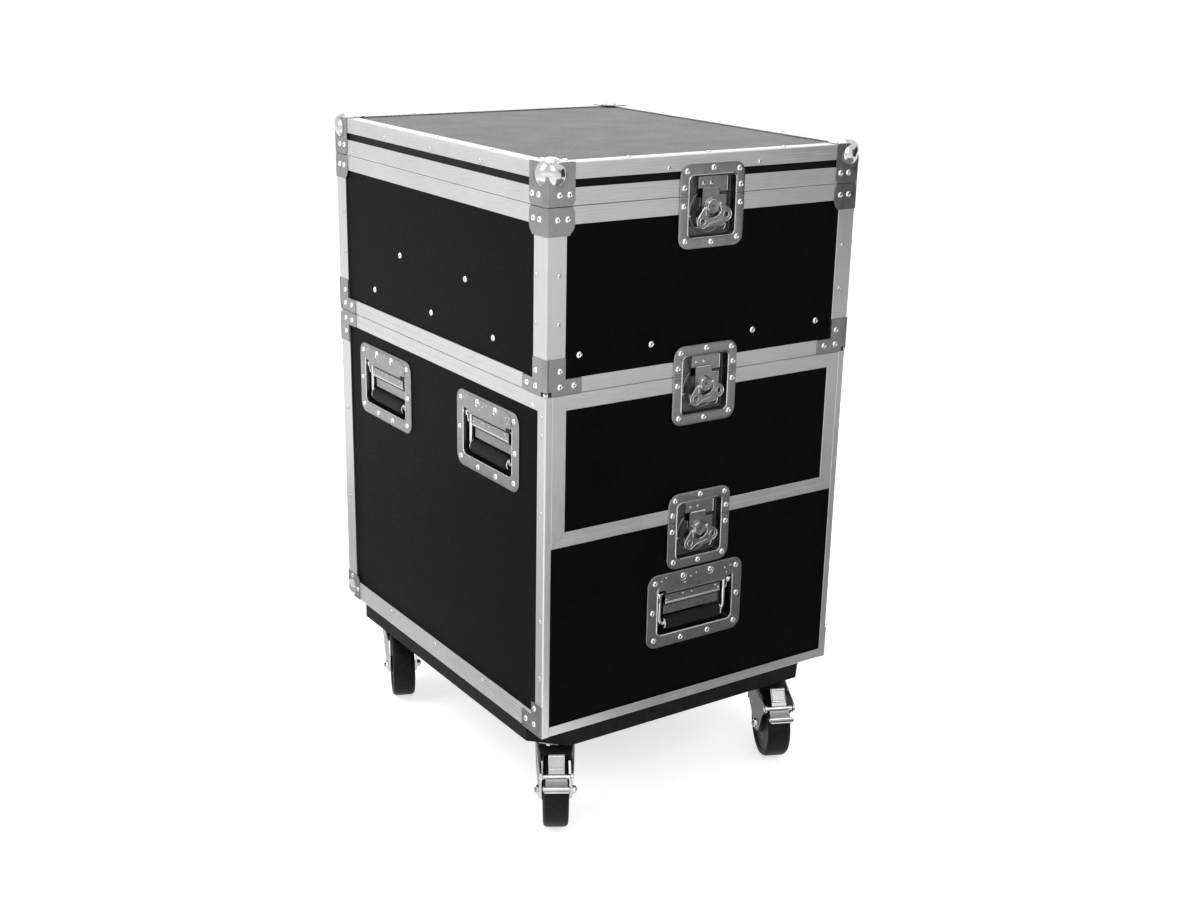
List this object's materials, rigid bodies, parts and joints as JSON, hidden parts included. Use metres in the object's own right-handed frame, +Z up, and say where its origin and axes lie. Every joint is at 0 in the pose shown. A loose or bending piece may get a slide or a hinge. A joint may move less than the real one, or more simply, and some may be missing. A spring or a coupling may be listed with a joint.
{
  "type": "flight case",
  "caption": "Wheeled flight case: black panels in aluminium profiles, hinged lid, lift-off upper box, base with a latched drawer, recessed handles and swivel casters.",
  "frame": {"origin": "middle of the whole outline on the plan, on the floor under the wheels", "axes": "+Z up, the front with the drawer and latches faces -Y, +X to the right seen from the front"},
  "size_m": [0.532, 0.6574, 0.956],
  "materials": {
    "black_laminate": "fine textured black laminate on plywood",
    "brushed_aluminium": "satin extruded profile",
    "zinc_steel": "bright zinc-plated pressed steel",
    "black_rubber": "ribbed black grip on a plated wire bail",
    "black_tyre": "satin black tread and hub",
    "black_board": "satin black painted plywood"
  },
  "bodies": {
    "base": {"base_cabinet": "black_laminate", "base_front_panel": "black_laminate", "base_frame": "brushed_aluminium", "caster_board": "black_board", "slide_left": "zinc_steel", "slide_right": "zinc_steel", "stack_latch_front_cam_dish": "zinc_steel", "stack_latch_rear_cam_dish": "zinc_steel", "drawer_latch_keeper_dish": "zinc_steel", "left_front_handle_dish": "zinc_steel", "left_rear_handle_dish": "zinc_steel", "right_front_handle_dish": "zinc_steel", "right_rear_handle_dish": "zinc_steel", "front_left_caster_plate": "zinc_steel", "front_right_caster_plate": "zinc_steel", "rear_left_caster_plate": "zinc_steel", "rear_right_caster_plate": "zinc_steel"},
    "upper_box": {"upper_box_shell": "black_laminate", "upper_box_floor": "black_laminate", "upper_box_frame": "brushed_aluminium", "box_hinge_leaf": "zinc_steel", "lid_latch_cam_dish": "zinc_steel", "stack_latch_front_keeper_dish": "zinc_steel", "stack_latch_rear_keeper_dish": "zinc_steel"},
    "lid": {"lid_shell": "black_laminate", "lid_edge_frame": "brushed_aluminium", "lid_closing_frame": "brushed_aluminium", "lid_hinge_leaf": "zinc_steel", "lid_latch_keeper_dish": "zinc_steel"},
    "drawer": {"drawer_front": "black_laminate", "drawer_tray": "black_laminate", "drawer_latch_cam_dish": "zinc_steel", "drawer_handle_dish": "zinc_steel"},
    "lid_latch_hook_body": {"lid_latch_hook": "zinc_steel"},
    "lid_latch_spindle_body": {"lid_latch_spindle": "zinc_steel"},
    "lid_latch_wing_body": {"lid_latch_wing": "zinc_steel"},
    "stack_latch_front_hook_body": {"stack_latch_front_hook": "zinc_steel"},
    "stack_latch_front_spindle_body": {"stack_latch_front_spindle": "zinc_steel"},
    "stack_latch_front_wing_body": {"stack_latch_front_wing": "zinc_steel"},
    "stack_latch_rear_hook_body": {"stack_latch_rear_hook": "zinc_steel"},
    "stack_latch_rear_spindle_body": {"stack_latch_rear_spindle": "zinc_steel"},
    "stack_latch_rear_wing_body": {"stack_latch_rear_wing": "zinc_steel"},
    "drawer_latch_hook_body": {"drawer_latch_hook": "zinc_steel"},
    "drawer_latch_spindle_body": {"drawer_latch_spindle": "zinc_steel"},
    "drawer_latch_wing_body": {"drawer_latch_wing": "zinc_steel"},
    "left_front_handle_bail_body": {"left_front_handle_bail": "black_rubber"},
    "left_rear_handle_bail_body": {"left_rear_handle_bail": "black_rubber"},
    "right_front_handle_bail_body": {"right_front_handle_bail": "black_rubber"},
    "right_rear_handle_bail_body": {"right_rear_handle_bail": "black_rubber"},
    "drawer_handle_bail_body": {"drawer_handle_bail": "black_rubber"},
    "front_left_swivel_body": {"front_left_caster_fork": "zinc_steel"},
    "front_left_wheel_body": {"front_left_caster_wheel": "black_tyre"},
    "front_left_pedal_body": {"front_left_brake_pedal": "zinc_steel"},
    "front_right_swivel_body": {"front_right_caster_fork": "zinc_steel"},
    "front_right_wheel_body": {"front_right_caster_wheel": "black_tyre"},
    "front_right_pedal_body": {"front_right_brake_pedal": "zinc_steel"},
    "rear_left_swivel_body": {"rear_left_caster_fork": "zinc_steel"},
    "rear_left_wheel_body": {"rear_left_caster_wheel": "black_tyre"},
    "rear_right_swivel_body": {"rear_right_caster_fork": "zinc_steel"},
    "rear_right_wheel_body": {"rear_right_caster_wheel": "black_tyre"}
  },
  "joints": [
    {"name": "upper_box_lift", "type": "slide", "parent": "base", "child": "upper_box", "axis": [0, 0, 1], "range_m": [0, 0.3]},
    {"name": "lid_hinge", "type": "hinge", "parent": "upper_box", "child": "lid", "pos_m": [0, 0.32569, 0.895], "axis": [-1, 0, 0], "range_deg": [0, 100]},
    {"name": "drawer_slide", "type": "slide", "parent": "base", "child": "drawer", "axis": [0, -1, 0], "range_m": [0, 0.4]},
    {"name": "lid_latch_turn", "type": "hinge", "parent": "upper_box", "child": "lid_latch_spindle_body", "pos_m": [0, -0.29261, 0.88], "axis": [0, -1, 0], "range_deg": [0, 180]},
    {"name": "lid_latch_wing_fold", "type": "hinge", "parent": "lid_latch_spindle_body", "child": "lid_latch_wing_body", "pos_m": [0, -0.29551, 0.88], "axis": [-0.9816, 0, -0.1908], "range_deg": [0, 90]},
    {"name": "lid_latch_hook_lift", "type": "slide", "parent": "upper_box", "child": "lid_latch_hook_body", "axis": [0, 0, 1], "range_m": [0, 0.0078]},
    {"name": "stack_latch_front_turn", "type": "hinge", "parent": "base", "child": "stack_latch_front_spindle_body", "pos_m": [0, -0.29261, 0.634], "axis": [0, -1, 0], "range_deg": [0, 180]},
    {"name": "stack_latch_front_wing_fold", "type": "hinge", "parent": "stack_latch_front_spindle_body", "child": "stack_latch_front_wing_body", "pos_m": [0, -0.29551, 0.634], "axis": [-0.9816, 0, -0.1908], "range_deg": [0, 90]},
    {"name": "stack_latch_front_hook_lift", "type": "slide", "parent": "base", "child": "stack_latch_front_hook_body", "axis": [0, 0, 1], "range_m": [0, 0.0078]},
    {"name": "stack_latch_rear_turn", "type": "hinge", "parent": "base", "child": "stack_latch_rear_spindle_body", "pos_m": [0, 0.32239, 0.634], "axis": [0, 1, 0], "range_deg": [0, 180]},
    {"name": "stack_latch_rear_wing_fold", "type": "hinge", "parent": "stack_latch_rear_spindle_body", "child": "stack_latch_rear_wing_body", "pos_m": [0, 0.32529, 0.634], "axis": [0.9816, 0, -0.1908], "range_deg": [0, 90]},
    {"name": "stack_latch_rear_hook_lift", "type": "slide", "parent": "base", "child": "stack_latch_rear_hook_body", "axis": [0, 0, 1], "range_m": [0, 0.0078]},
    {"name": "drawer_latch_turn", "type": "hinge", "parent": "drawer", "child": "drawer_latch_spindle_body", "pos_m": [0, -0.29261, 0.4212], "axis": [0, -1, 0], "range_deg": [0, 180]},
    {"name": "drawer_latch_wing_fold", "type": "hinge", "parent": "drawer_latch_spindle_body", "child": "drawer_latch_wing_body", "pos_m": [0, -0.29551, 0.4212], "axis": [-0.9816, 0, -0.1908], "range_deg": [0, 90]},
    {"name": "drawer_latch_hook_lift", "type": "slide", "parent": "drawer", "child": "drawer_latch_hook_body", "axis": [0, 0, 1], "range_m": [0, 0.0078]},
    {"name": "left_front_handle_swing", "type": "hinge", "parent": "base", "child": "left_front_handle_bail_body", "pos_m": [-0.251, -0.14111, 0.5745], "axis": [0, 1, 0], "range_deg": [0, 90], "stiffness_Nm_per_rad": 0.08, "springref_deg": -22.92},
    {"name": "left_rear_handle_swing", "type": "hinge", "parent": "base", "child": "left_rear_handle_bail_body", "pos_m": [-0.251, 0.17089, 0.5745], "axis": [0, 1, 0], "range_deg": [0, 90], "stiffness_Nm_per_rad": 0.08, "springref_deg": -22.92},
    {"name": "right_front_handle_swing", "type": "hinge", "parent": "base", "child": "right_front_handle_bail_body", "pos_m": [0.251, -0.14111, 0.5745], "axis": [0, -1, 0], "range_deg": [0, 90], "stiffness_Nm_per_rad": 0.08, "springref_deg": -22.92},
    {"name": "right_rear_handle_swing", "type": "hinge", "parent": "base", "child": "right_rear_handle_bail_body", "pos_m": [0.251, 0.17089, 0.5745], "axis": [0, -1, 0], "range_deg": [0, 90], "stiffness_Nm_per_rad": 0.08, "springref_deg": -22.92},
    {"name": "drawer_handle_swing", "type": "hinge", "parent": "drawer", "child": "drawer_handle_bail_body", "pos_m": [0, -0.28361, 0.3267], "axis": [-1, 0, 0], "range_deg": [0, 90], "stiffness_Nm_per_rad": 0.08, "springref_deg": -22.92},
    {"name": "front_left_swivel", "type": "hinge", "parent": "base", "child": "front_left_swivel_body", "pos_m": [-0.1975, -0.23011, 0.1125], "axis": [0, 0, 1], "continuous": true},
    {"name": "front_left_wheel_spin", "type": "hinge", "parent": "front_left_swivel_body", "child": "front_left_wheel_body", "pos_m": [-0.2181, -0.2644, 0.052], "axis": [0.8572, -0.515, 0], "continuous": true},
    {"name": "front_left_brake_press", "type": "hinge", "parent": "front_left_swivel_body", "child": "front_left_pedal_body", "pos_m": [-0.2387, -0.29869, 0.0955], "axis": [0.8572, -0.515, 0], "range_deg": [0, 12]},
    {"name": "front_right_swivel", "type": "hinge", "parent": "base", "child": "front_right_swivel_body", "pos_m": [0.1975, -0.23011, 0.1125], "axis": [0, 0, 1], "continuous": true},
    {"name": "front_right_wheel_spin", "type": "hinge", "parent": "front_right_swivel_body", "child": "front_right_wheel_body", "pos_m": [0.18123, -0.26665, 0.052], "axis": [0.9135, -0.4067, 0], "continuous": true},
    {"name": "front_right_brake_press", "type": "hinge", "parent": "front_right_swivel_body", "child": "front_right_pedal_body", "pos_m": [0.16496, -0.3032, 0.0955], "axis": [0.9135, -0.4067, 0], "range_deg": [0, 12]},
    {"name": "rear_left_swivel", "type": "hinge", "parent": "base", "child": "rear_left_swivel_body", "pos_m": [-0.1975, 0.25989, 0.1125], "axis": [0, 0, 1], "continuous": true},
    {"name": "rear_left_wheel_spin", "type": "hinge", "parent": "rear_left_swivel_body", "child": "rear_left_wheel_body", "pos_m": [-0.21313, 0.22307, 0.052], "axis": [0.9205, -0.3907, 0], "continuous": true},
    {"name": "rear_right_swivel", "type": "hinge", "parent": "base", "child": "rear_right_swivel_body", "pos_m": [0.1975, 0.25989, 0.1125], "axis": [0, 0, 1], "continuous": true},
    {"name": "rear_right_wheel_spin", "type": "hinge", "parent": "rear_right_swivel_body", "child": "rear_right_wheel_body", "pos_m": [0.17997, 0.22394, 0.052], "axis": [0.8988, -0.4384, 0], "continuous": true}
  ],
  "couplings": [
    {"joint": "lid_latch_turn", "follows": "lid_latch_hook_lift", "rad_per_m": 400},
    {"joint": "stack_latch_front_turn", "follows": "stack_latch_front_hook_lift", "rad_per_m": 400},
    {"joint": "stack_latch_rear_turn", "follows": "stack_latch_rear_hook_lift", "rad_per_m": 400},
    {"joint": "drawer_latch_turn", "follows": "drawer_latch_hook_lift", "rad_per_m": 400}
  ]
}
